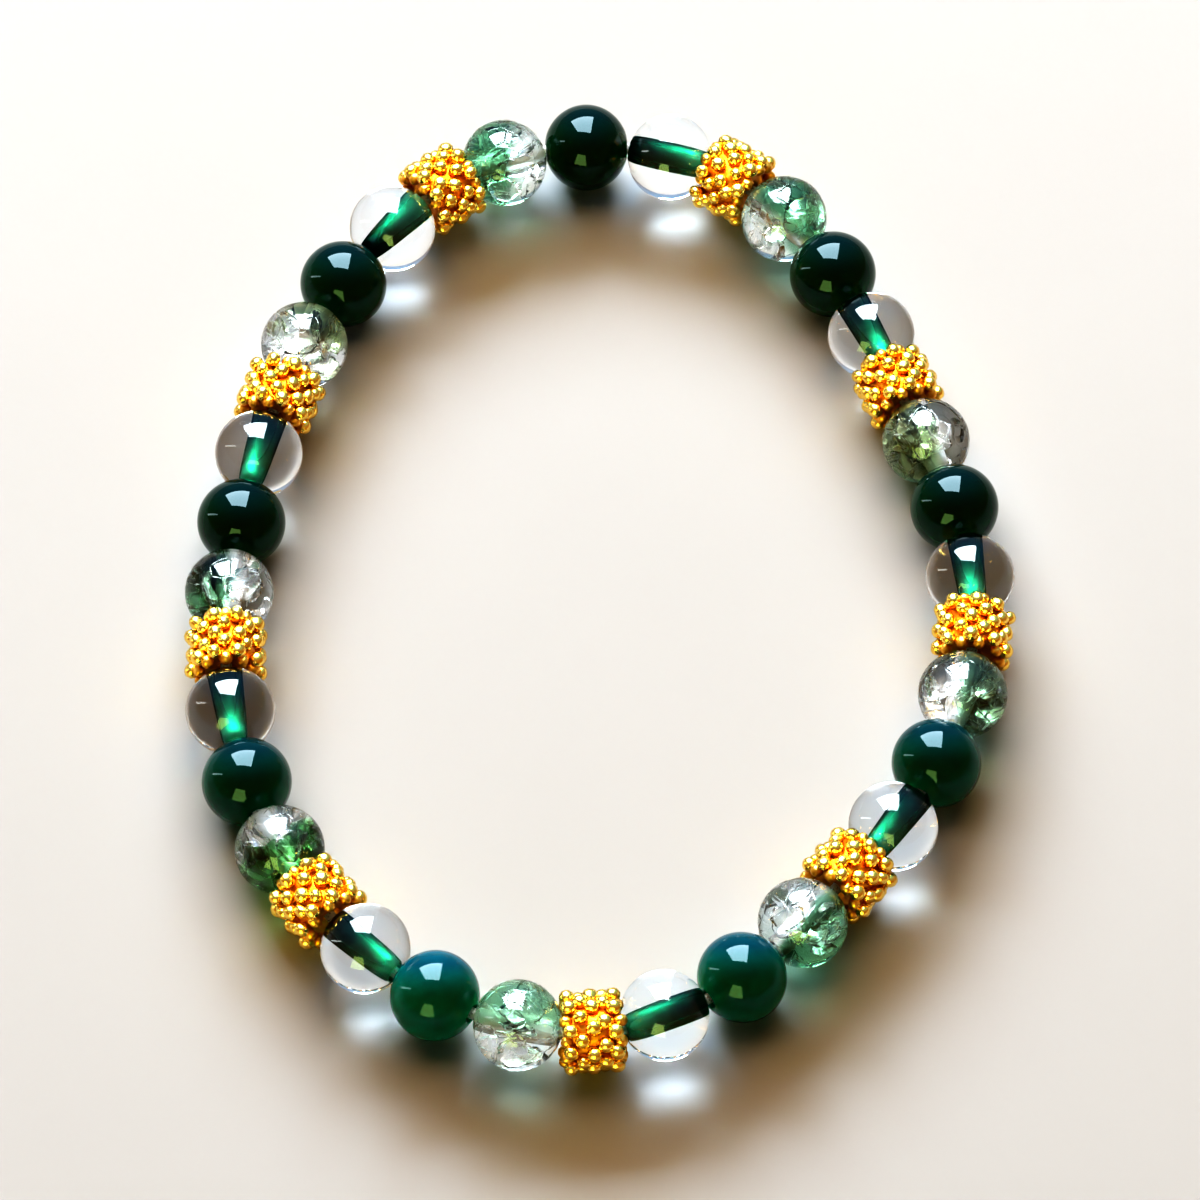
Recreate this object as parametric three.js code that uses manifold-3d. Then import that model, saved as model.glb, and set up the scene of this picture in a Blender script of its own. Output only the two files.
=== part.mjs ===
// A stretch bracelet: round glass beads and granulated gold spacers on a clear elastic cord.
//
// Units are millimetres and +Z is up. The bracelet lies flat in a long, slightly uneven loop, and
// every bead touches the surface at z = 0. The origin is at the middle of the loop's box.
// One repeat along the cord is a dark bead, a lined bead, a gold spacer and a crackle bead.

import * as THREE from 'three';
import * as BufferGeometryUtils from 'three/addons/utils/BufferGeometryUtils.js';
import Module from 'manifold-3d';

const wasm = await Module();
wasm.setup();

// Driving dimensions
const REPEATS = 9;
const BEAD_RADIUS = 3.1; // across the cord, to the flat of a facet
const BEAD_HALF_AXIS = 3.02; // along the cord, before the hole cuts the ends off
const HOLE_RADIUS = 0.7;
const PIECE_GAP = 0.2; // between neighbours, measured along the cord
const CORD_RADIUS = 0.4;

const SPACER_CORE_LENGTH = 3.8;
const SPACER_CORE_RADIUS = 2.2;
const GRANULE_RADIUS = 0.56;
const GRANULE_CIRCLE_RADIUS = 2.44; // from the cord to a granule's centre
const GRANULES_PER_ROW = 8;
const GRANULE_ROWS = [-1.34, 0, 1.34]; // places along the cord, each row turned half a step

const BEAD_SIDES = 16;
const BEAD_ARC_STEPS = 7; // odd, so that one step is a flat band round the middle
const SPACER_SIDES = 16;
const CORD_SIDES = 8;

// The loop that the cord takes, in plan. It is scaled to the length that the pieces need.
const LOOP = [
  { x: -0.9, y: 38.6 },
  { x: 9.5, y: 35.7 },
  { x: 16.8, y: 27.0 },
  { x: 21.4, y: 16.4 },
  { x: 25.2, y: 5.7 },
  { x: 26.1, y: -5.6 },
  { x: 23.0, y: -16.8 },
  { x: 16.4, y: -26.2 },
  { x: 8.6, y: -34.6 },
  { x: -1.2, y: -38.2 },
  { x: -11.0, y: -35.3 },
  { x: -19.0, y: -27.8 },
  { x: -24.2, y: -17.9 },
  { x: -26.0, y: -6.6 },
  { x: -25.2, y: 4.8 },
  { x: -22.7, y: 15.9 },
  { x: -18.2, y: 26.3 },
  { x: -11.0, y: 34.9 },
];

/** Half the length of a bead along the cord, from its middle to the mouth of its hole. */
function beadHalfLength() {
  return BEAD_HALF_AXIS * Math.sqrt(1 - (HOLE_RADIUS / BEAD_RADIUS) ** 2);
}

// Materials

function darkGlass() {
  return new THREE.MeshStandardMaterial({ color: 0x04282a, roughness: 0.05, metalness: 0 });
}

function clearGlass() {
  return new THREE.MeshStandardMaterial({ color: 0xb9cfc4, roughness: 0.05, metalness: 0 });
}

function crackleGlass() {
  return new THREE.MeshStandardMaterial({ color: 0x8ba78c, roughness: 0.1, metalness: 0 });
}

function goldPlate() {
  return new THREE.MeshStandardMaterial({ color: 0xf0a828, roughness: 0.25, metalness: 1 });
}

function clearElastic() {
  return new THREE.MeshStandardMaterial({ color: 0xe6e8e4, roughness: 0.35, metalness: 0 });
}

// Booleans

/** Turns a closed geometry into a solid that can be joined and cut. */
function solidFrom(geometry) {
  const bare = geometry.clone();
  bare.deleteAttribute('normal');
  bare.deleteAttribute('uv');
  const merged = BufferGeometryUtils.mergeVertices(bare, 1e-4);
  const index = merged.index ? merged.index.array : merged.attributes.position.array.keys();
  return new wasm.Manifold(new wasm.Mesh({
    numProp: 3,
    vertProperties: Float32Array.from(merged.attributes.position.array),
    triVerts: Uint32Array.from(index),
  }));
}

/** Turns a solid back into a geometry. */
function geometryFrom(solid) {
  const mesh = solid.getMesh();
  const geometry = new THREE.BufferGeometry();
  geometry.setAttribute('position', new THREE.BufferAttribute(mesh.vertProperties, 3));
  geometry.setIndex(new THREE.BufferAttribute(mesh.triVerts, 1));
  geometry.computeVertexNormals();
  return geometry;
}

// Pieces. Each is modelled round the X axis, with its middle at the origin.

/** Revolves a closed outline of (radius, place along the cord) and lays its axis along X. */
function turned(outline, sides) {
  const points = outline.map(([radius, along]) => new THREE.Vector2(radius, along));
  points.push(points[0].clone());
  const halfStep = Math.PI / sides;
  const geometry = new THREE.LatheGeometry(points, sides, halfStep);
  geometry.rotateZ(-Math.PI / 2);
  return geometry;
}

/** A round bead with a straight hole. Its facets are tangent to the true bead at their middles. */
function beadGeometry() {
  const mouth = Math.acos(HOLE_RADIUS / BEAD_RADIUS);
  const step = 2 * mouth / BEAD_ARC_STEPS;
  const acrossFlats = 1 / (Math.cos(step / 2) * Math.cos(Math.PI / BEAD_SIDES));
  const outline = [[HOLE_RADIUS, -beadHalfLength()]];
  for (let i = 1; i < BEAD_ARC_STEPS; i += 1) {
    const angle = -mouth + i * step;
    outline.push([BEAD_RADIUS * acrossFlats * Math.cos(angle), BEAD_HALF_AXIS * Math.sin(angle)]);
  }
  outline.push([HOLE_RADIUS, beadHalfLength()]);
  return turned(outline, BEAD_SIDES);
}

/** A granulated spacer: a ring with rows of small balls round it. */
function spacerGeometry() {
  const half = SPACER_CORE_LENGTH / 2;
  let solid = solidFrom(turned([
    [HOLE_RADIUS, -half],
    [SPACER_CORE_RADIUS, -half],
    [SPACER_CORE_RADIUS, half],
    [HOLE_RADIUS, half],
  ], SPACER_SIDES));
  GRANULE_ROWS.forEach((along, row) => {
    for (let i = 0; i < GRANULES_PER_ROW; i += 1) {
      const angle = (i + (row % 2) / 2) * 2 * Math.PI / GRANULES_PER_ROW;
      const granule = new THREE.OctahedronGeometry(GRANULE_RADIUS, 0);
      granule.rotateX(angle);
      granule.translate(
        along,
        GRANULE_CIRCLE_RADIUS * Math.cos(angle),
        GRANULE_CIRCLE_RADIUS * Math.sin(angle),
      );
      solid = solid.add(solidFrom(granule));
    }
  });
  return geometryFrom(solid);
}

/** The pieces of one repeat, in their order along the cord. */
function repeatPieces() {
  const bead = beadGeometry();
  return [
    { name: 'dark_bead', geometry: bead, material: darkGlass, half: beadHalfLength() },
    { name: 'lined_bead', geometry: bead, material: clearGlass, half: beadHalfLength() },
    { name: 'gold_spacer', geometry: spacerGeometry(), material: goldPlate, half: SPACER_CORE_LENGTH / 2 },
    { name: 'crackle_bead', geometry: bead, material: crackleGlass, half: beadHalfLength() },
  ];
}

// The loop

/** Every piece of the bracelet, with its place along the cord, and the cord's whole length. */
function strungPieces() {
  const kinds = repeatPieces();
  const pieces = [];
  const firstHalf = kinds[0].half; // the middle of the first bead is where the route starts
  let end = -firstHalf;
  for (let repeat = 1; repeat <= REPEATS; repeat += 1) {
    for (const kind of kinds) {
      pieces.push({ ...kind, name: `${kind.name}_${repeat}`, along: end + kind.half });
      end += 2 * kind.half + PIECE_GAP;
    }
  }
  return { pieces, length: end + firstHalf };
}

/** The closed route of the cord, scaled to the given length, at the height of a bead's middle. */
function cordRoute(length) {
  const drawn = new THREE.CatmullRomCurve3(LOOP.map(({ x, y }) => new THREE.Vector3(x, y, 0)), true);
  const scale = length / drawn.getLength();
  const points = LOOP.map(({ x, y }) => new THREE.Vector3(x * scale, y * scale, BEAD_RADIUS));
  const route = new THREE.CatmullRomCurve3(points, true);
  route.arcLengthDivisions = 2000;
  return route;
}

/** Gives every piece its middle on the route and the direction of its hole. */
function placePieces(pieces, route, length) {
  for (const piece of pieces) {
    piece.middle = route.getPointAt(piece.along / length);
  }
  pieces.forEach((piece, i) => {
    const before = pieces[(i + pieces.length - 1) % pieces.length].middle;
    const after = pieces[(i + 1) % pieces.length].middle;
    piece.direction = after.clone().sub(before).normalize();
  });
}

/** A mesh of one piece, its hole along the cord. */
function pieceMesh(piece) {
  const mesh = new THREE.Mesh(piece.geometry, piece.material());
  mesh.name = piece.name;
  mesh.position.copy(piece.middle);
  mesh.rotation.z = Math.atan2(piece.direction.y, piece.direction.x);
  return mesh;
}

/** The elastic cord, straight through every hole. It is one closed loop, so it has no ends. */
function cordMesh(pieces) {
  const points = [];
  pieces.forEach((piece, i) => {
    const next = pieces[(i + 1) % pieces.length];
    const leaves = piece.middle.clone().addScaledVector(piece.direction, piece.half);
    const enters = next.middle.clone().addScaledVector(next.direction, -next.half);
    points.push(piece.middle, leaves.lerp(enters, 0.5));
  });
  const path = new THREE.CatmullRomCurve3(points, true);
  const geometry = new THREE.TubeGeometry(path, points.length, CORD_RADIUS, CORD_SIDES, true);
  const mesh = new THREE.Mesh(geometry, clearElastic());
  mesh.name = 'elastic_cord';
  return mesh;
}

/** The whole bracelet, with the middle of its box over the origin and its beads on z = 0. */
function bracelet() {
  const { pieces, length } = strungPieces();
  placePieces(pieces, cordRoute(length), length);
  const loop = new THREE.Group();
  for (const piece of pieces) {
    loop.add(pieceMesh(piece));
  }
  loop.add(cordMesh(pieces));
  const middle = new THREE.Box3().setFromObject(loop, true).getCenter(new THREE.Vector3());
  loop.position.set(-middle.x, -middle.y, 0);
  const group = new THREE.Group();
  group.add(loop);
  return group;
}

export default bracelet();
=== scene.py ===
"""A stretch bracelet of glass beads and granulated gold spacers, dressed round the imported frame.

Lengths are in metres. Every piece is modelled round the X axis, with its hole along X and its middle at
the origin, and is then turned and moved to the place that its node has in the frame.
"""

import logging
import math
import random
from dataclasses import dataclass, field
from enum import Enum
from typing import Any, Mapping, Sequence, Union

import bmesh
import bpy
from mathutils import Euler, Matrix, Vector, noise


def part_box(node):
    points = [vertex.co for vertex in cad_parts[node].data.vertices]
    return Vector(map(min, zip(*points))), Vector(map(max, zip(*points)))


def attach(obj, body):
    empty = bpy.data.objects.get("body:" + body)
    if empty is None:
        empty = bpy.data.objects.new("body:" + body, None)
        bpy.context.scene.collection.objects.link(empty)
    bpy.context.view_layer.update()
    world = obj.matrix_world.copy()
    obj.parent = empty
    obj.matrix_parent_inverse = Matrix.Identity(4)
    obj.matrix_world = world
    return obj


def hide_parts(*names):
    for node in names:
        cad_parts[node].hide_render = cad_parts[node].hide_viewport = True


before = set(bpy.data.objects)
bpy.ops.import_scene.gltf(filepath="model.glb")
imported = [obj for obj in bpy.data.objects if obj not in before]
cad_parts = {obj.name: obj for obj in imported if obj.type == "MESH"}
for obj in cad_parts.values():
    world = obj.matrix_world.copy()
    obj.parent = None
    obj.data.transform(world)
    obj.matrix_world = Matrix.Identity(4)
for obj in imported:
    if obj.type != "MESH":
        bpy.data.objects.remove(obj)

MM = 0.001
REPEATS = 9
ORDER = ("dark_bead", "lined_bead", "gold_spacer", "crackle_bead")

log = logging.getLogger("bracelet")


# Shader expressions


class Signal:
    """A node's output that takes part in Python arithmetic."""

    def __init__(self, nodes: "Nodes", socket: bpy.types.NodeSocket) -> None:
        """Wraps a socket.

        Args:
            nodes: The tree that the socket belongs to.
            socket: The output to wrap.
        """
        self.nodes = nodes
        self.socket = socket

    def _math(self, operation: str, first: "Operand", second: "Operand") -> "Signal":
        """Adds one Math node.

        Args:
            operation: The Math node's operation.
            first: Its first value.
            second: Its second value.

        Returns:
            The node's result.
        """
        return self.nodes.node("ShaderNodeMath", {"operation": operation}, {0: first, 1: second})

    def __add__(self, other: "Operand") -> "Signal":
        """self + other."""
        return self._math("ADD", self, other)

    def __radd__(self, other: "Operand") -> "Signal":
        """other + self."""
        return self._math("ADD", other, self)

    def __sub__(self, other: "Operand") -> "Signal":
        """self - other."""
        return self._math("SUBTRACT", self, other)

    def __rsub__(self, other: "Operand") -> "Signal":
        """other - self."""
        return self._math("SUBTRACT", other, self)

    def __mul__(self, other: "Operand") -> "Signal":
        """self * other."""
        return self._math("MULTIPLY", self, other)

    def __rmul__(self, other: "Operand") -> "Signal":
        """other * self."""
        return self._math("MULTIPLY", other, self)


Operand = Union[Signal, float]
Colour = tuple[float, float, float]
Tone = Union[Signal, Colour]


class Nodes:
    """A node tree, and the ways in which its nodes are made."""

    def __init__(self, owner: bpy.types.Material | bpy.types.World) -> None:
        """Starts an empty tree.

        Args:
            owner: The material or world that the nodes are for.
        """
        owner.use_nodes = True
        self.tree = owner.node_tree
        self.tree.nodes.clear()

    def node(
        self,
        kind: str,
        settings: Mapping[str, Any] | None = None,
        inputs: Mapping[str | int, Any] | None = None,
        output: str | int = 0,
    ) -> Signal | None:
        """Adds a node, sets it, then gives its sockets their values or links.

        Args:
            kind: The node's type.
            settings: Its properties.
            inputs: Values or signals, by socket name or number.
            output: The output that is wanted.

        Returns:
            That output, or None where the node ends the tree.
        """
        made = self.tree.nodes.new(kind)
        for key, value in (settings or {}).items():
            setattr(made, key, value)
        for key, value in (inputs or {}).items():
            if isinstance(value, Signal):
                self.tree.links.new(value.socket, made.inputs[key])
            else:
                made.inputs[key].default_value = value
        return Signal(self, made.outputs[output]) if made.outputs else None

    def span(self, value: Signal, low: float, high: float, start: float, end: float) -> Signal:
        """Maps one range of a value to another, held at both ends.

        Args:
            value: What is mapped.
            low: The start of its range.
            high: The end of its range.
            start: What low becomes.
            end: What high becomes.

        Returns:
            The mapped value.
        """
        inputs = {"Value": value, 1: low, 2: high, 3: start, 4: end}
        return self.node("ShaderNodeMapRange", {"clamp": True}, inputs)

    def mix(self, share: Signal, first: Tone, second: Tone) -> Signal:
        """Mixes two colours.

        Args:
            share: How much of the second colour shows.
            first: The colour at 0.
            second: The colour at 1.

        Returns:
            The mixed colour.
        """
        settings = {"data_type": "RGBA", "clamp_factor": True}
        first, second = (tone if isinstance(tone, Signal) else (*tone, 1.0) for tone in (first, second))
        inputs = {0: share, 6: first, 7: second}
        return self.node("ShaderNodeMix", settings, inputs, output=2)


class Paint(Nodes):
    """One material."""

    def __init__(self, name: str) -> None:
        """Starts an empty material.

        Args:
            name: The material's name.
        """
        self.material = bpy.data.materials.new(name)
        super().__init__(self.material)

    def place(self) -> Signal:
        """The point's position in the piece's own space."""
        return self.node("ShaderNodeTexCoord", output="Object")

    def noise(self, scale: float, detail: float = 2.0, roughness: float = 0.5) -> Signal:
        """Soft noise from 0 to 1.

        Args:
            scale: Its repeats in a metre.
            detail: Its octaves.
            roughness: How strong the finer octaves are.

        Returns:
            The noise's value.
        """
        inputs = {"Vector": self.place(), "Scale": scale, "Detail": detail, "Roughness": roughness}
        return self.node("ShaderNodeTexNoise", {"noise_dimensions": "3D"}, inputs)

    def mark(self, name: str) -> Signal:
        """A value that is stored at the points of the piece's mesh."""
        return self.node("ShaderNodeAttribute", {"attribute_name": name}, output="Fac")

    def bump(self, height: Signal, depth: float) -> Signal:
        """A bumped normal.

        Args:
            height: The height, from 0 to 1.
            depth: What a height of 1 stands for.

        Returns:
            The normal.
        """
        return self.node("ShaderNodeBump", {}, {"Height": height, "Distance": depth, "Strength": 1.0})

    def surface(
        self, inputs: Mapping[str | int, Any], kept: Colour | None = None, depth: float = 0.0
    ) -> None:
        """Ends the material in a Principled surface, filled with absorbing glass where some is kept.

        Args:
            inputs: The Principled node's values and signals.
            kept: The share of each colour that is left after the depth.
            depth: The depth at which it is left.
        """
        ends = {"Surface": self.node("ShaderNodeBsdfPrincipled", {}, inputs)}
        if kept:
            # The node takes away density * (1 - colour) in each metre.
            taken = [-math.log(max(share, 1e-6)) / depth for share in kept]
            density = max(taken) / 0.95
            colour = (*(1.0 - rate / density for rate in taken), 1.0)
            filling = {"Color": colour, "Density": density}
            ends["Volume"] = self.node("ShaderNodeVolumeAbsorption", {}, filling)
        self.node("ShaderNodeOutputMaterial", {}, ends)


class Air(Nodes):
    """The world round the stage."""

    def __init__(self, name: str) -> None:
        """Starts an empty world.

        Args:
            name: The world's name.
        """
        self.world = bpy.data.worlds.new(name)
        super().__init__(self.world)

    def surround(self, colour: Signal) -> None:
        """Ends the world in a background.

        Args:
            colour: The light from each direction.
        """
        light = self.node("ShaderNodeBackground", {}, {"Color": colour, "Strength": 1.0})
        self.node("ShaderNodeOutputWorld", {}, {"Surface": light})


# Finishes


@dataclass(frozen=True)
class Glass:
    """Polished bead glass, slightly uneven, with faint wipe marks."""

    name: str
    ior: float = 1.52
    waviness: float = 0.004 * MM
    wave_scale: float = 450.0
    haze: float = 0.03
    crazing: float = 0.0
    ground: float = 0.55

    def material(self) -> bpy.types.Material:
        """The finish as a material."""
        paint = Paint(self.name)
        height = paint.noise(self.wave_scale, 1.0)
        marks = paint.noise(1400.0, 4.0, 0.6)
        wall = paint.mark("ground")
        rough = paint.span(marks, 0.5, 0.75, 0.0, self.haze) + wall * self.ground
        if self.crazing:
            cells = {"Vector": paint.place(), "Scale": 620.0, "Randomness": 1.0}
            edge = paint.node("ShaderNodeTexVoronoi", {"feature": "DISTANCE_TO_EDGE"}, cells)
            line = paint.span(edge, 0.0, 0.05, 1.0, 0.0)
            height = height - line * self.crazing
            rough = rough + line * 0.15
        paint.surface({
            "Base Color": (1.0, 1.0, 1.0, 1.0),
            "Roughness": rough,
            "IOR": self.ior,
            "Transmission Weight": 1.0,
            "Normal": paint.bump(height, self.waviness),
        })
        return paint.material


@dataclass(frozen=True)
class DarkGlass:
    """Glass so deep in colour that no light comes through: bottle green, faintly clouded, polished.

    Each colour is a pair, for the glass that lies low and for the glass that lies high, and the pair
    paints
    light and shade: lighter and greener low down, darker and bluer high up. The pale colours are a painted
    glow of light inside the glass, and some beads get more of it than others.
    """

    name: str = "dark_glass"
    # Painted shade: the dark body colour, lighter and greener low down and darker and bluer high up.
    deep: tuple[Colour, Colour] = ((0.0006, 0.05, 0.006), (0.0004, 0.016, 0.011))
    # Painted glow of light inside the glass, greener low down and bluer high up.
    pale: tuple[Colour, Colour] = ((0.002, 0.36, 0.19), (0.0008, 0.105, 0.16))

    def material(self) -> bpy.types.Material:
        """The finish as a material."""
        paint = Paint(self.name)
        cloud = paint.noise(520.0, 4.0, 0.6)
        marks = paint.noise(1400.0, 4.0, 0.6)
        wall = paint.mark("ground")
        pale = paint.mark("painted_glow_amount")
        height = paint.mark("height")
        # The stored height runs along the camera's upward direction, so the colour pairs below paint light
        # and shade: darker and bluer high up, lighter and greener low down.
        high = paint.span(height, 0.4, 0.85, 0.0, 1.0)
        # Painted glow: how much of the glowing pale colours shows, set by the cloud noise and by each
        # bead's stored amount.
        painted_glow_share = paint.span(cloud, 0.3, 0.7, 0.7, 1.0) * (pale + 0.04)
        paint.surface({
            "Base Color": paint.mix(painted_glow_share, paint.mix(high, *self.deep), paint.mix(high, *self.pale)),
            "Roughness": paint.span(marks, 0.45, 0.75, 0.02, 0.07) + wall * 0.4,
            "IOR": 1.36,
            "Specular Tint": (0.75, 0.94, 1.0, 1.0),
            "Normal": paint.bump(paint.noise(450.0, 1.0), 0.003 * MM),
        })
        return paint.material


@dataclass(frozen=True)
class InnerColour:
    """Colour inside glass. It bends no light at its own surface, because the glass goes on past it.

    Each colour in "kept" is the share that is left after the depth. "ends" holds its surface's colours at
    a lining's narrow and wide ends, which paint shade and light: dark at the narrow end and a bright
    painted glow at the wide end. "clear" is how much of it lets light through.
    """

    name: str
    kept: Colour
    depth: float
    ends: tuple[Colour, Colour] | None = None
    clear: float = 1.0

    def material(self) -> bpy.types.Material:
        """The finish as a material."""
        paint = Paint(self.name)
        base = (1.0, 1.0, 1.0, 1.0)
        if self.ends:
            # Painted light along the lining: painted shade at the narrow end, rising to a painted glow at
            # the wide end.
            along = paint.mark("along")
            painted_glow_along = along + (paint.noise(900.0, 3.0) - 0.5) * 0.4
            share = paint.span(painted_glow_along, 0.0, 0.85, 0.0, 1.0)
            base = paint.mix(share * share, *self.ends)
        paint.surface({
            "Base Color": base,
            "Roughness": 0.0,
            "IOR": 1.0,
            "Specular IOR Level": 0.0,
            "Transmission Weight": self.clear,
        }, self.kept, self.depth)
        return paint.material


@dataclass(frozen=True)
class GoldPlate:
    """Bright gold plate, with painted shade: painted a deeper orange where it lies low in the crevices
    between the balls, and duller there.
    """

    name: str = "gold_plate"
    bright: Colour = (1.0, 0.68, 0.17)
    # Painted shade: the colour of the gold deep in the crevices.
    deep: Colour = (0.72, 0.29, 0.02)

    def material(self) -> bpy.types.Material:
        """The finish as a material."""
        paint = Paint(self.name)
        relief = paint.mark("relief")
        cast_and_shade_noise = paint.noise(2600.0, 3.0, 0.6)
        # Painted shade: low relief, broken up by the noise, takes the deep colour in the crevices between
        # the balls.
        share = paint.span(relief + (cast_and_shade_noise - 0.5) * 0.35, 0.1, 0.6, 0.0, 1.0)
        grain = paint.noise(9000.0, 3.0, 0.7)
        paint.surface({
            "Base Color": paint.mix(share, self.deep, self.bright),
            "Metallic": 1.0,
            "Roughness": paint.span(share, 0.0, 1.0, 0.42, 0.2) + (grain - 0.5) * 0.1,
            "Normal": paint.bump(grain + cast_and_shade_noise * 2.0, 0.012 * MM),
        })
        return paint.material


@dataclass(frozen=True)
class ClearElastic:
    """Stretch cord: milky clear, with fine lines along it."""

    name: str = "clear_elastic"

    def material(self) -> bpy.types.Material:
        """The finish as a material."""
        paint = Paint(self.name)
        lines = paint.noise(5000.0, 2.0)
        paint.surface({
            "Base Color": paint.mix(lines, (0.82, 0.84, 0.82), (0.95, 0.96, 0.95)),
            "Roughness": paint.span(lines, 0.3, 0.7, 0.22, 0.4),
            "IOR": 1.5,
            "Transmission Weight": 0.5,
            "Normal": paint.bump(lines, 0.01 * MM),
        })
        return paint.material


@dataclass(frozen=True)
class PaleFloor:
    """A plain pale matt floor."""

    name: str = "pale_floor"
    light: Colour = (0.537, 0.554, 0.586)
    shade: Colour = (0.523, 0.540, 0.571)

    def material(self) -> bpy.types.Material:
        """The finish as a material."""
        paint = Paint(self.name)
        paint.surface({
            "Base Color": paint.mix(paint.noise(60.0, 3.0), self.shade, self.light),
            "Roughness": 0.8,
            "Specular IOR Level": 0.0,
        })
        return paint.material


# The strand


@dataclass(frozen=True)
class Place:
    """Where a piece sits on the cord."""

    node: str
    middle: Vector
    heading: float

    def matrix(self, roll: float = 0.0) -> Matrix:
        """The move from the X axis to this place.

        Args:
            roll: A turn about the cord, made first.

        Returns:
            The matrix.
        """
        turn = Matrix.Rotation(self.heading, 4, "Z") @ Matrix.Rotation(roll, 4, "X")
        return Matrix.Translation(self.middle) @ turn


class Strand:
    """The places of all the pieces, read from the frame in their order along the cord."""

    def __init__(self) -> None:
        """Reads every node's middle, and its heading from its neighbours' middles."""
        names = [f"{kind}_{i}" for i in range(1, REPEATS + 1) for kind in ORDER]
        height = self._middle(names[0]).z
        middles = [Vector((*self._middle(name).xy, height)) for name in names]
        self.places: dict[str, Place] = {}
        for i, name in enumerate(names):
            run = middles[(i + 1) % len(names)] - middles[i - 1]
            self.places[name] = Place(name, middles[i], math.atan2(run.y, run.x))

    @staticmethod
    def _middle(name: str) -> Vector:
        """The middle of a node's box."""
        low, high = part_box(name)
        return (Vector(low) + Vector(high)) / 2

    def of_kind(self, kind: str) -> list[Place]:
        """The places of one kind of piece, in order."""
        return [self.places[f"{kind}_{i}"] for i in range(1, REPEATS + 1)]


def finished(
    name: str, shape: bmesh.types.BMesh, material: bpy.types.Material, node: str
) -> bpy.types.Object:
    """Turns a placed shape into a piece of the bracelet.

    Args:
        name: The piece's name.
        shape: Its mesh, in place, which is freed.
        material: Its finish.
        node: The CAD node that it stands for.

    Returns:
        The piece.
    """
    mesh = bpy.data.meshes.new(name)
    shape.to_mesh(mesh)
    shape.free()
    mesh.polygons.foreach_set("use_smooth", [True] * len(mesh.polygons))
    mesh.materials.append(material)
    piece = bpy.data.objects.new(name, mesh)
    bpy.context.scene.collection.objects.link(piece)
    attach(piece, "root")
    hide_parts(node)
    return piece


def spun(points: Sequence[tuple[float, float]], steps: int) -> bmesh.types.BMesh:
    """Spins a closed outline of (along, radius) once round the X axis.

    Args:
        points: The outline.
        steps: The steps of the full turn.

    Returns:
        The shape, with its faces pointing out.
    """
    shape = bmesh.new()
    verts = [shape.verts.new((along, radius, 0.0)) for along, radius in points]
    for first, second in zip(verts, verts[1:] + verts[:1]):
        shape.edges.new((first, second))
    bmesh.ops.spin(
        shape, geom=[*shape.verts, *shape.edges], cent=(0, 0, 0), axis=(1, 0, 0),
        angle=2 * math.pi, steps=steps, use_merge=True,
    )
    bmesh.ops.remove_doubles(shape, verts=shape.verts, dist=1e-8)
    bmesh.ops.recalc_face_normals(shape, faces=shape.faces)
    return shape


# Beads


@dataclass
class BeadForm:
    """The body that all the beads share: round, a little short along the cord, with a rounded bore."""

    radius: float = 3.1 * MM
    half_axis: float = 3.02 * MM
    bores: tuple[float, float] = (0.66 * MM, 0.66 * MM)
    lip: float = 0.09 * MM
    arc_steps: int = 44
    turn_steps: int = 88

    def shape(self) -> bmesh.types.BMesh:
        """The bead's body round the X axis, whose hole may be narrower at its -X end."""
        mouths = [math.asin((bore + self.lip) / self.radius) for bore in self.bores]
        sweep = math.pi - sum(mouths)
        outline = []
        for i in range(self.arc_steps + 1):
            angle = mouths[1] + sweep * i / self.arc_steps
            outline.append((self.half_axis * math.cos(angle), self.radius * math.sin(angle)))
        lip_steps = 3
        sink = 0.35 * self.lip
        for side, bore, mouth in zip((-1, 1), self.bores, mouths):
            end = self.half_axis * math.cos(mouth) - sink
            for i in range(1, lip_steps + 1):
                part = i / lip_steps if side < 0 else 1 - (i - 1) / lip_steps
                angle = part * math.pi / 2
                along = end - self.lip * (1 - math.cos(angle)) + sink * (1 - part)
                outline.append((side * along, bore + self.lip * (1 - math.sin(angle))))
        shape = spun(outline, self.turn_steps)
        ground = shape.verts.layers.float.new("ground")
        for vert in shape.verts:
            out = math.hypot(vert.co.y, vert.co.z)
            vert[ground] = 1.0 if out < max(self.bores) + 0.02 * MM else 0.0
        return shape


@dataclass
class DarkBeads:
    """The very dark bottle-green beads, with painted light: a painted glow, stronger in some beads than in
    others, and painted shade, darker and bluer towards the top as the camera sees it.
    """

    form: BeadForm = field(default_factory=BeadForm)
    finish: DarkGlass = DarkGlass()
    # How much painted glow of light each bead gets.
    painted_glow_amount: tuple[float, ...] = (0.0, 0.0, 0.0, 0.3, 0.7, 1.0, 0.25, 0.0, 0.05)
    # The camera's upward direction, along which the finish paints the glass darker and bluer.
    painted_light_way: tuple[float, float, float] = (0.0, 0.81, 0.586)

    def build(self, strand: Strand) -> list[bpy.types.Object]:
        """Makes every dark bead."""
        material = self.finish.material()
        pieces = []
        for i, (place, painted_glow_amount) in enumerate(zip(strand.of_kind("dark_bead"), self.painted_glow_amount), 1):
            shape = self.form.shape()
            shape.transform(place.matrix(roll=i))
            pale = shape.verts.layers.float.new("painted_glow_amount")
            # The height, along the camera's upward direction, carries the painted shade, and the stored
            # amount carries the painted glow.
            height = shape.verts.layers.float.new("height")
            for vert in shape.verts:
                vert[pale] = painted_glow_amount
                up = (vert.co - place.middle).dot(Vector(self.painted_light_way)) / self.form.radius
                vert[height] = 0.5 + 0.5 * up
            pieces.append(finished(f"dark_glass_{i}", shape, material, place.node))
        return pieces


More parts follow.
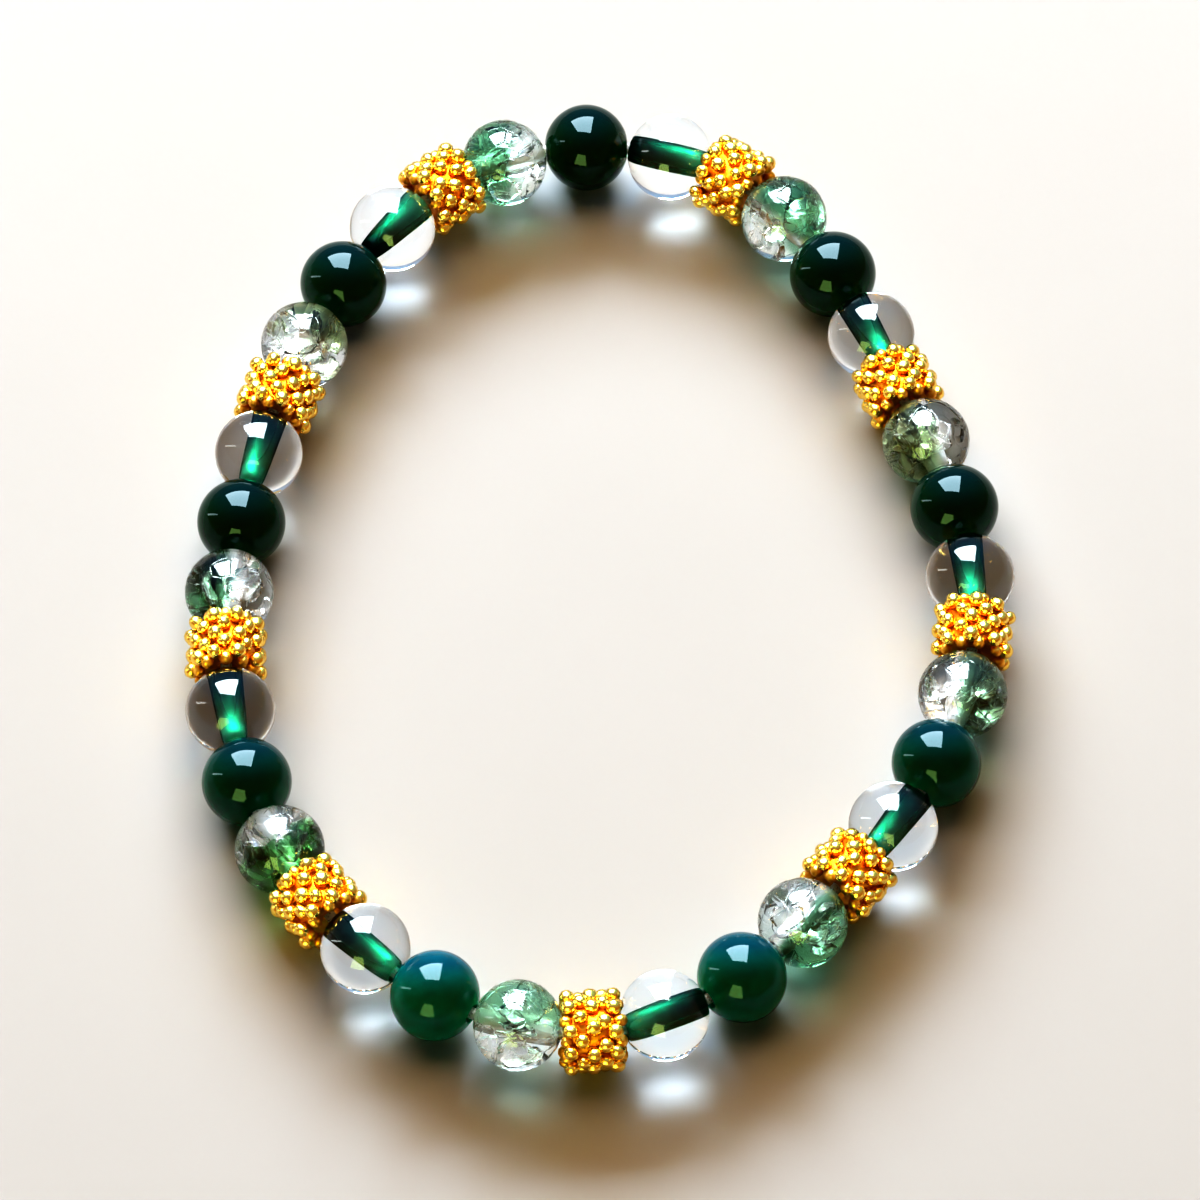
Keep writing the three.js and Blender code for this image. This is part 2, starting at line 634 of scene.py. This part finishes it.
@dataclass
class LinedBeads:
    """The colourless beads, and the emerald green colour that lines their slightly tapered holes.

    "wide_end" is 1 where a bead's wide end points onwards along the cord, and otherwise -1. The lining is
    painted dark at its narrow end and glowing at its wide end, so this also places its painted shade and
    glow.
    """

    form: BeadForm = field(default_factory=lambda: BeadForm(bores=(0.56 * MM, 0.68 * MM)))
    finish: Glass = Glass("clear_glass")
    # The lining's painted shade and glow: dark at the narrow end, bright at the wide end.
    colour: InnerColour = InnerColour(
        "emerald_lining", kept=(0.01, 0.34, 0.19), depth=0.22 * MM,
        ends=((0.003, 0.04, 0.04), (0.50, 1.0, 0.85)), clear=0.92,
    )
    inset: float = 0.02 * MM
    coat: float = 0.1 * MM
    turn_steps: int = 64
    wide_end: tuple[int, ...] = (1, 1, 1, 1, 1, -1, -1, -1, 1)

    def build(self, strand: Strand) -> list[bpy.types.Object]:
        """Makes every lined bead with its lining."""
        glass, green = self.finish.material(), self.colour.material()
        pieces = []
        for i, (place, end) in enumerate(zip(strand.of_kind("lined_bead"), self.wide_end), 1):
            about = Matrix.Rotation(0.0 if end > 0 else math.pi, 4, "Z")
            body = self.form.shape()
            body.transform(place.matrix(roll=i) @ about)
            pieces.append(finished(f"lined_glass_{i}", body, glass, place.node))
            lining = self._lining_shape()
            lining.transform(place.matrix() @ about)
            pieces.append(finished(f"lining_{i}", lining, green, place.node))
        return pieces

    def _lining_shape(self) -> bmesh.types.BMesh:
        """A thin tube that covers the wall of the hole, marked from 0 at its narrow end to 1."""
        reach = self.form.half_axis * 0.955
        start, end = (bore - self.inset for bore in self.form.bores)
        steps = 8
        stations = [reach * (2 * i / steps - 1) for i in range(steps + 1)]
        walls = [(x, start + (end - start) * (x / reach + 1) / 2) for x in stations]
        outline = [walls[0], *((x, out + self.coat) for x, out in walls), *reversed(walls[1:])]
        shape = spun(outline, self.turn_steps)
        along = shape.verts.layers.float.new("along")
        for vert in shape.verts:
            vert[along] = 0.5 + vert.co.x / (2 * reach)
        return shape


class Tint(Enum):
    """The greens of the crackle beads, as the share of each colour left after "green_depth"."""

    BOTTLE = (0.07, 0.16, 0.09)
    FOREST = (0.07, 0.26, 0.07)
    LEAF = (0.20, 0.42, 0.26)
    SAGE = (0.24, 0.38, 0.26)
    OLIVE = (0.30, 0.39, 0.21)
    MINT = (0.40, 0.66, 0.46)


@dataclass(frozen=True)
class Crackle:
    """One crackle bead: where its green side faces, how far it reaches in, its green, its big flaw."""

    facing: float
    reach: float
    tint: Tint
    flaw: tuple[float, float]


@dataclass
class CrackleBeads:
    """The two-tone beads: clear on one side, green on the other, and full of bright inner cracks.

    "lean" is how far back and how far up a green side faces when its angle is 90 degrees.
    """

    form: BeadForm = field(default_factory=BeadForm)
    finish: Glass = Glass("crackle_glass", waviness=0.02 * MM, crazing=0.8)
    crack_count: int = 13
    crack_gap: float = 0.03 * MM
    crack_haze: float = 0.4
    green_depth: float = 4 * MM
    lean: tuple[float, float] = (0.82, 0.57)
    beads: tuple[Crackle, ...] = (
        Crackle(facing=45, reach=0.1, tint=Tint.LEAF, flaw=(0.35, -0.15)),
        Crackle(facing=200, reach=0.2, tint=Tint.OLIVE, flaw=(0.15, -0.2)),
        Crackle(facing=0, reach=0.1, tint=Tint.SAGE, flaw=(-0.3, 0.0)),
        Crackle(facing=-40, reach=0.1, tint=Tint.LEAF, flaw=(-0.3, -0.3)),
        Crackle(facing=90, reach=0.0, tint=Tint.MINT, flaw=(0.1, 0.1)),
        Crackle(facing=-55, reach=0.15, tint=Tint.FOREST, flaw=(-0.1, 0.3)),
        Crackle(facing=180, reach=-0.1, tint=Tint.BOTTLE, flaw=(0.3, -0.15)),
        Crackle(facing=60, reach=-0.3, tint=Tint.OLIVE, flaw=(-0.05, -0.25)),
        Crackle(facing=180, reach=0.1, tint=Tint.LEAF, flaw=(0.3, 0.1)),
    )
    flaw_faces: tuple[float, float, float] = (-0.113, -0.097, 0.989)
    flaw_half: float = 1.25 * MM
    flaw_rise: float = 0.42

    def build(self, strand: Strand) -> list[bpy.types.Object]:
        """Makes every crackle bead with its green side."""
        glass = self.finish.material()
        greens = {
            tint: InnerColour(f"crackle_{tint.name.lower()}", tint.value, self.green_depth).material()
            for tint in Tint
        }
        pieces = []
        for i, (place, bead) in enumerate(zip(strand.of_kind("crackle_bead"), self.beads), 1):
            body = self.form.shape()
            dice = random.Random(40 + i)
            lie = place.matrix(roll=i)
            for _ in range(self.crack_count):
                self._open(body, self._crack(dice))
            self._open(body, self._flaw(bead, lie, dice))
            body.transform(lie)
            pieces.append(finished(f"crackle_glass_{i}", body, glass, place.node))
            side = self._green_side(bead, seed=i)
            side.transform(Matrix.Translation(place.middle))
            pieces.append(
                finished(f"crackle_green_{i}", side, greens[bead.tint], place.node)
            )
        return pieces

    def _sheet(self, dice: random.Random, half: float, rough: float) -> bmesh.types.BMesh:
        """A bent and ragged sheet.

        Args:
            dice: The source of its bends.
            half: Half its width.
            rough: How uneven it is.

        Returns:
            Its shape, flat on the whole.
        """
        sheet = bmesh.new()
        bmesh.ops.create_grid(sheet, x_segments=9, y_segments=9, size=half)
        bend = dice.uniform(-0.35, 0.35) / MM * rough
        twist = dice.uniform(-0.3, 0.3) / MM * rough
        seed = Vector((dice.uniform(0, 99), dice.uniform(0, 99), dice.uniform(0, 99)))
        for vert in sheet.verts:
            x, y, _ = vert.co
            shrink = 1 - 0.42 * (max(abs(x), abs(y)) / half) * min(abs(x), abs(y)) / half
            ragged = shrink * (1 + 0.25 * noise.noise(seed + vert.co / half * 2.2))
            waves = 0.12 * MM * rough * noise.noise(seed + vert.co / MM)
            vert.co = Vector((x * ragged, y * ragged, bend * x * x + twist * x * y + waves))
        return sheet

    def _crack(self, dice: random.Random) -> bmesh.types.BMesh:
        """One small crack's sheet, somewhere between the hole and the skin.

        Args:
            dice: The source of its place and bend.

        Returns:
            Its shape, in a bead round the X axis.
        """
        crack = self._sheet(dice, half=dice.uniform(0.55, 1.35) * MM, rough=1.0)
        turn = Matrix.Rotation(dice.uniform(0, 2 * math.pi), 4, "X")
        tip = Matrix.Rotation(dice.uniform(-0.9, 0.9), 4, Vector((dice.random(), dice.random(), 0.1)))
        out = dice.uniform(0.45, 0.72) * self.form.radius
        along = dice.uniform(-0.5, 0.5) * self.form.half_axis
        upright = Matrix.Rotation(math.pi / 2, 4, "X")
        crack.transform(turn @ Matrix.Translation((along, 0, out)) @ tip @ upright)
        return crack

    def _flaw(self, bead: Crackle, lie: Matrix, dice: random.Random) -> bmesh.types.BMesh:
        """The big flaw's sheet, which lies nearly level and catches the window.

        Args:
            bead: Where it is.
            lie: The bead's place in the bracelet.
            dice: The source of its bends.

        Returns:
            Its shape, in a bead round the X axis.
        """
        flaw = self._sheet(dice, half=self.flaw_half, rough=0.45)
        across, back = (share * self.form.radius for share in bead.flaw)
        turn = Vector(self.flaw_faces).to_track_quat("Z", "Y").to_matrix().to_4x4()
        rise = self.flaw_rise * self.form.radius
        put = Matrix.Translation(lie.translation + Vector((across, back, rise)))
        flaw.transform(lie.inverted() @ put @ turn)
        return flaw

    def _open(self, body: bmesh.types.BMesh, sheet: bmesh.types.BMesh) -> None:
        """Opens a very thin gap in a bead's glass along a sheet.

        Args:
            body: The bead, round the X axis.
            sheet: The sheet, which is used up.
        """
        limit = 0.955 * self.form.radius
        keep_out = max(self.form.bores) + 0.22 * MM
        for vert in sheet.verts:
            if vert.co.length > limit:
                vert.co = vert.co.normalized() * limit
            across = Vector((0, vert.co.y, vert.co.z))
            if 0 < across.length < keep_out:
                vert.co += across.normalized() * (keep_out - across.length)
        bmesh.ops.solidify(sheet, geom=sheet.faces, thickness=self.crack_gap)
        bmesh.ops.recalc_face_normals(sheet, faces=sheet.faces)
        bmesh.ops.reverse_faces(sheet, faces=sheet.faces)
        ground = sheet.verts.layers.float.new("ground")
        for vert in sheet.verts:
            vert[ground] = self.crack_haze
        mesh = bpy.data.meshes.new("crack")
        sheet.to_mesh(mesh)
        sheet.free()
        body.from_mesh(mesh)
        bpy.data.meshes.remove(mesh)

    def _green_side(self, bead: Crackle, seed: int) -> bmesh.types.BMesh:
        """The green part of a bead, with a gently wavy inner side.

        Args:
            bead: Which way it faces and how far it reaches in.
            seed: Picks its waves.

        Returns:
            Its shape, round the bead's middle.
        """
        side = bmesh.new()
        ball = self.form.half_axis * 0.985
        bmesh.ops.create_icosphere(side, subdivisions=5, radius=ball)
        angle = math.radians(bead.facing)
        back, up = (math.sin(angle) * share for share in self.lean)
        facing = Vector((math.cos(angle), back, up)).normalized()
        for vert in side.verts:
            wave = 0.18 * noise.noise(vert.co / (1.4 * MM) + Vector((seed * 7.3, 0, 0)))
            floor = (wave - bead.reach) * self.form.radius
            depth = vert.co.dot(facing) - floor
            if depth < 0:
                vert.co -= facing * depth
            if vert.co.length > ball:
                vert.co = vert.co.normalized() * ball
        bmesh.ops.recalc_face_normals(side, faces=side.faces)
        return side


# Spacers


@dataclass(frozen=True)
class GranuleRow:
    """One row of balls round a spacer."""

    along: float
    radius: float
    circle: float
    turned: float


@dataclass
class GoldSpacers:
    """The granulated spacers: a ring that is covered with small balls, row beside row."""

    core_half: float = 1.55 * MM
    core_radius: float = 2.0 * MM
    edge: float = 0.14 * MM
    bore: float = 0.8 * MM
    turn_steps: int = 48
    per_row: int = 9
    rows: tuple[GranuleRow, ...] = (
        GranuleRow(along=-1.83 * MM, radius=0.52 * MM, circle=1.92 * MM, turned=0.5),
        GranuleRow(along=-1.54 * MM, radius=0.61 * MM, circle=2.38 * MM, turned=0.0),
        GranuleRow(along=-0.77 * MM, radius=0.60 * MM, circle=2.30 * MM, turned=0.5),
        GranuleRow(along=0.0, radius=0.61 * MM, circle=2.38 * MM, turned=0.0),
        GranuleRow(along=0.77 * MM, radius=0.60 * MM, circle=2.30 * MM, turned=0.5),
        GranuleRow(along=1.54 * MM, radius=0.61 * MM, circle=2.38 * MM, turned=0.0),
        GranuleRow(along=1.83 * MM, radius=0.52 * MM, circle=1.92 * MM, turned=0.5),
    )
    clearance: float = 0.04 * MM
    finish: GoldPlate = GoldPlate()

    def build(self, strand: Strand) -> list[bpy.types.Object]:
        """Makes every spacer, clear of the two beads beside it."""
        material = self.finish.material()
        pieces = []
        for i, place in enumerate(strand.of_kind("gold_spacer"), 1):
            undo = place.matrix().inverted()
            beads = [undo @ strand.places[f"{kind}_{i}"].middle for kind in ("lined_bead", "crackle_bead")]
            shape = self._shape(random.Random(70 + i), beads)
            shape.transform(place.matrix())
            pieces.append(finished(f"gold_rondelle_{i}", shape, material, place.node))
        return pieces

    def _shape(self, dice: random.Random, beads: Sequence[Vector]) -> bmesh.types.BMesh:
        """One spacer round the X axis, with its relief stored for the finish.

        Args:
            dice: The source of the small unevenness of hand-set balls.
            beads: The middles of the two beads beside it.

        Returns:
            Its shape.
        """
        half, edge = self.core_half, self.edge
        shape = spun([
            (-half, self.bore), (-half, self.core_radius - edge), (-half + edge, self.core_radius),
            (half - edge, self.core_radius), (half, self.core_radius - edge), (half, self.bore),
        ], self.turn_steps)
        step = 2 * math.pi / self.per_row
        phase = dice.uniform(0, step)
        ball = self._ball()
        for row in self.rows:
            skew = phase + step * (row.turned + dice.uniform(-0.1, 0.1))
            for i in range(self.per_row):
                angle = skew + step * (i + dice.uniform(-0.09, 0.09))
                radius = row.radius * dice.uniform(0.88, 1.0)
                spot = self._clear_of(beads, self._spot(row, radius, angle, dice), radius)
                self._add_ball(shape, ball, spot, radius, dice)
        bpy.data.meshes.remove(ball)
        # The relief, from the ring up to the tops of the balls, sets where the finish paints shade low
        # down in the crevices.
        relief = shape.verts.layers.float.new("relief")
        low, high = self.core_radius - edge, max(row.circle + row.radius for row in self.rows)
        for vert in shape.verts:
            out = math.hypot(vert.co.y, vert.co.z)
            vert[relief] = min(max((out - low) / (high - low), 0.0), 1.0)
        return shape

    @staticmethod
    def _ball() -> bpy.types.Mesh:
        """A small ball of radius 1, from a cube that is cut up and blown up round."""
        shape = bmesh.new()
        bmesh.ops.create_cube(shape, size=1.0)
        bmesh.ops.subdivide_edges(shape, edges=shape.edges, cuts=2, use_grid_fill=True)
        for vert in shape.verts:
            vert.co.normalize()
        ball = bpy.data.meshes.new("ball")
        shape.to_mesh(ball)
        shape.free()
        return ball

    @staticmethod
    def _spot(row: GranuleRow, radius: float, angle: float, dice: random.Random) -> Vector:
        """Where a ball sits while no bead is in its way.

        Args:
            row: Its row.
            radius: Its radius.
            angle: Where it sits round the ring.
            dice: The source of its unevenness.

        Returns:
            Its middle.
        """
        along = row.along + dice.uniform(-0.05, 0.05) * MM
        out = row.circle + row.radius - radius - dice.uniform(0.0, 0.06) * MM
        return Vector((along, out * math.cos(angle), out * math.sin(angle)))

    def _clear_of(self, beads: Sequence[Vector], spot: Vector, radius: float) -> Vector:
        """Slides a ball in along the cord, if it would touch a bead.

        Args:
            beads: The beads' middles.
            spot: The ball's middle.
            radius: Its radius.

        Returns:
            The middle that is clear of the beads.
        """
        apart = BeadForm.radius + radius + self.clearance
        along = spot.x
        for bead in beads:
            across = math.hypot(spot.y - bead.y, spot.z - bead.z)
            limit = abs(bead.x) - math.sqrt(max(apart**2 - across**2, 0.0))
            along = max(along, -limit) if bead.x < 0 else min(along, limit)
        return Vector((along, spot.y, spot.z))

    @staticmethod
    def _add_ball(
        shape: bmesh.types.BMesh, ball: bpy.types.Mesh, spot: Vector, radius: float, dice: random.Random
    ) -> None:
        """Solders one small ball on.

        Args:
            shape: The spacer.
            ball: The ball, of radius 1.
            spot: Its middle.
            radius: Its radius.
            dice: The source of its unevenness.
        """
        turn = Matrix.Rotation(dice.uniform(0, math.pi), 4, "X") @ Matrix.Rotation(dice.random(), 4, "Z")
        uneven = (radius, radius * dice.uniform(0.82, 1.0), radius * dice.uniform(0.82, 1.0), 1.0)
        put = Matrix.Translation(spot) @ turn @ Matrix.Diagonal(uneven)
        count = len(shape.verts)
        shape.from_mesh(ball)
        shape.verts.ensure_lookup_table()
        bmesh.ops.transform(shape, matrix=put, verts=shape.verts[count:])


# Cord


@dataclass
class Cord:
    """The elastic cord: one closed loop, straight for the share "straight" of every hole."""

    radius: float = 0.4 * MM
    sides: int = 12
    bead_half: float = 3.0 * MM
    spacer_half: float = 1.9 * MM
    straight: float = 0.8
    finish: ClearElastic = ClearElastic()

    def build(self, strand: Strand) -> bpy.types.Object:
        """Makes the cord."""
        points = []
        for place in strand.places.values():
            reach = self.straight * (self.bead_half if "bead" in place.node else self.spacer_half)
            along = Vector((math.cos(place.heading), math.sin(place.heading), 0))
            points += [place.middle - along * reach, place.middle, place.middle + along * reach]
        curve = bpy.data.curves.new("cord_route", "CURVE")
        curve.dimensions = "3D"
        curve.bevel_depth = self.radius
        curve.bevel_resolution = self.sides // 4
        curve.resolution_u = 3
        spline = curve.splines.new("NURBS")
        spline.points.add(len(points) - 1)
        for point, spot in zip(spline.points, points):
            point.co = (*spot, 1.0)
        spline.order_u = 3
        spline.use_cyclic_u = True
        guide = bpy.data.objects.new("cord_guide", curve)
        bpy.context.scene.collection.objects.link(guide)
        mesh = bpy.data.meshes.new_from_object(guide.evaluated_get(bpy.context.evaluated_depsgraph_get()))
        bpy.data.objects.remove(guide)
        shape = bmesh.new()
        shape.from_mesh(mesh)
        bmesh.ops.remove_doubles(shape, verts=shape.verts, dist=1e-8)
        bmesh.ops.recalc_face_normals(shape, faces=shape.faces)
        return finished("stretch_cord", shape, self.finish.material(), "elastic_cord")


# Studio


class Reach(Enum):
    """What a light does: it only lights things, or it is only mirrored in them."""

    LIT = "lit"
    MIRRORED = "mirrored"


@dataclass(frozen=True)
class SoftLight:
    """A soft rectangular light that faces the bracelet.

    Azimuth is in degrees to the right of straight behind, and elevation is in degrees. A light that
    faces the bracelet squarely isn't turned: otherwise its lean, swing and roll are in degrees.
    """

    name: str
    azimuth: float
    elevation: float
    size: tuple[float, float]
    radiance: float
    colour: Colour
    distance: float = 1.0
    turned: tuple[float, float, float] = (0.0, 0.0, 0.0)
    reach: Reach = Reach.LIT

    def build(self) -> None:
        """Adds the light."""
        data = bpy.data.lights.new(self.name, "AREA")
        data.shape = "RECTANGLE"
        data.size, data.size_y = self.size
        data.energy = self.radiance * math.pi * self.size[0] * self.size[1]
        data.color = self.colour
        lamp = bpy.data.objects.new(self.name, data)
        across, up = math.radians(self.azimuth), math.radians(self.elevation)
        away = Vector((math.sin(across) * math.cos(up), math.cos(across) * math.cos(up), math.sin(up)))
        lamp.location = away * self.distance
        turn = Euler([math.radians(angle) for angle in self.turned]).to_matrix()
        lamp.rotation_euler = (away.to_track_quat("Z", "Y").to_matrix() @ turn).to_euler()
        lamp.visible_camera = False
        lamp.visible_glossy = self.reach is Reach.MIRRORED
        lamp.visible_diffuse = lamp.visible_transmission = self.reach is Reach.LIT
        bpy.context.scene.collection.objects.link(lamp)


@dataclass
class Studio:
    """The floor, the lights and the camera.

    The room is warm, and bluer towards "sky_way". "caustic_blur" softens the bright spots that
    the beads throw on the floor.
    """

    floor_half: float = 4.0
    floor_finish: PaleFloor = PaleFloor()
    lights: tuple[SoftLight, ...] = (
        SoftLight("daylight", -9.0, 27.0, (0.84, 0.36), 20.0, (0.80, 0.92, 1.0)),
        SoftLight("ceiling", -9.0, 60.0, (1.6, 1.2), 1.32, (1.0, 0.63, 0.27)),
        SoftLight(
            "window", -24.6, 62.4, (0.80, 0.90), 16.5, (0.84, 0.93, 1.0), distance=0.96,
            turned=(27, -27, -27), reach=Reach.MIRRORED,
        ),
        SoftLight(
            "garden", 196.0, 17.0, (0.50, 0.80), 5.2, (0.74, 1.0, 0.32), turned=(35, 0, 0),
            reach=Reach.MIRRORED,
        ),
        SoftLight(
            "side_window", -81.0, 10.0, (0.06, 0.8), 6.0, (0.9, 0.97, 1.0), turned=(0, 0, -28),
            reach=Reach.MIRRORED,
        ),
    )
    room: Colour = (0.30, 0.17, 0.045)
    sky: Colour = (0.20, 0.60, 1.05)
    sky_way: tuple[float, float, float] = (0.0, 0.574, 0.819)
    look: str = "Very High Contrast"
    caustic_blur: float = 0.2
    eye: tuple[float, float, float] = (0.0, -0.3706, 0.5119)
    lens: float = 271.7

    def build(self) -> None:
        """Makes the floor, the lights and the camera."""
        self._floor()
        for light in self.lights:
            light.build()
        self._world()
        self._camera()
        bpy.context.scene.view_settings.view_transform = "Standard"
        bpy.context.scene.view_settings.look = self.look
        bpy.context.scene.cycles.blur_glossy = self.caustic_blur

    def _floor(self) -> None:
        """The floor under the beads."""
        shape = bmesh.new()
        bmesh.ops.create_grid(shape, x_segments=1, y_segments=1, size=self.floor_half)
        mesh = bpy.data.meshes.new("floor")
        shape.to_mesh(mesh)
        shape.free()
        mesh.materials.append(self.floor_finish.material())
        floor = bpy.data.objects.new("floor", mesh)
        bpy.context.scene.collection.objects.link(floor)

    def _world(self) -> None:
        """A dim warm room round the bracelet, with a blue glow behind it, which things only mirror."""
        air = Air("room")
        way = air.node("ShaderNodeTexCoord", output="Generated")
        dot = {"operation": "DOT_PRODUCT"}
        toward = air.node("ShaderNodeVectorMath", dot, {0: way, 1: self.sky_way}, output="Value")
        glow = air.span(toward, -0.1, 1.0, 0.0, 1.0)
        air.surround(air.mix(glow * glow, self.room, self.sky))
        bpy.context.scene.world = air.world
        air.world.cycles_visibility.diffuse = False

    def _camera(self) -> None:
        """A long lens, looking down on the bracelet."""
        eye = Vector(self.eye)
        data = bpy.data.cameras.new("camera")
        data.sensor_width = 36.0
        data.lens = self.lens
        data.clip_start = 0.01
        camera = bpy.data.objects.new("camera", data)
        camera.location = eye
        camera.rotation_euler = eye.to_track_quat("Z", "Y").to_euler()
        bpy.context.scene.collection.objects.link(camera)
        bpy.context.scene.camera = camera


def main() -> None:
    """Builds the bracelet piece by piece, then the studio round it."""
    logging.basicConfig(level=logging.INFO, format="%(name)s: %(message)s")
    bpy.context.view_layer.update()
    strand = Strand()
    for part in (DarkBeads(), LinedBeads(), CrackleBeads(), GoldSpacers()):
        for piece in part.build(strand):
            log.info("%s, %d faces", piece.name, len(piece.data.polygons))
    cord = Cord().build(strand)
    log.info("%s, %d faces", cord.name, len(cord.data.polygons))
    Studio().build()


if __name__ == "__main__":
    main()
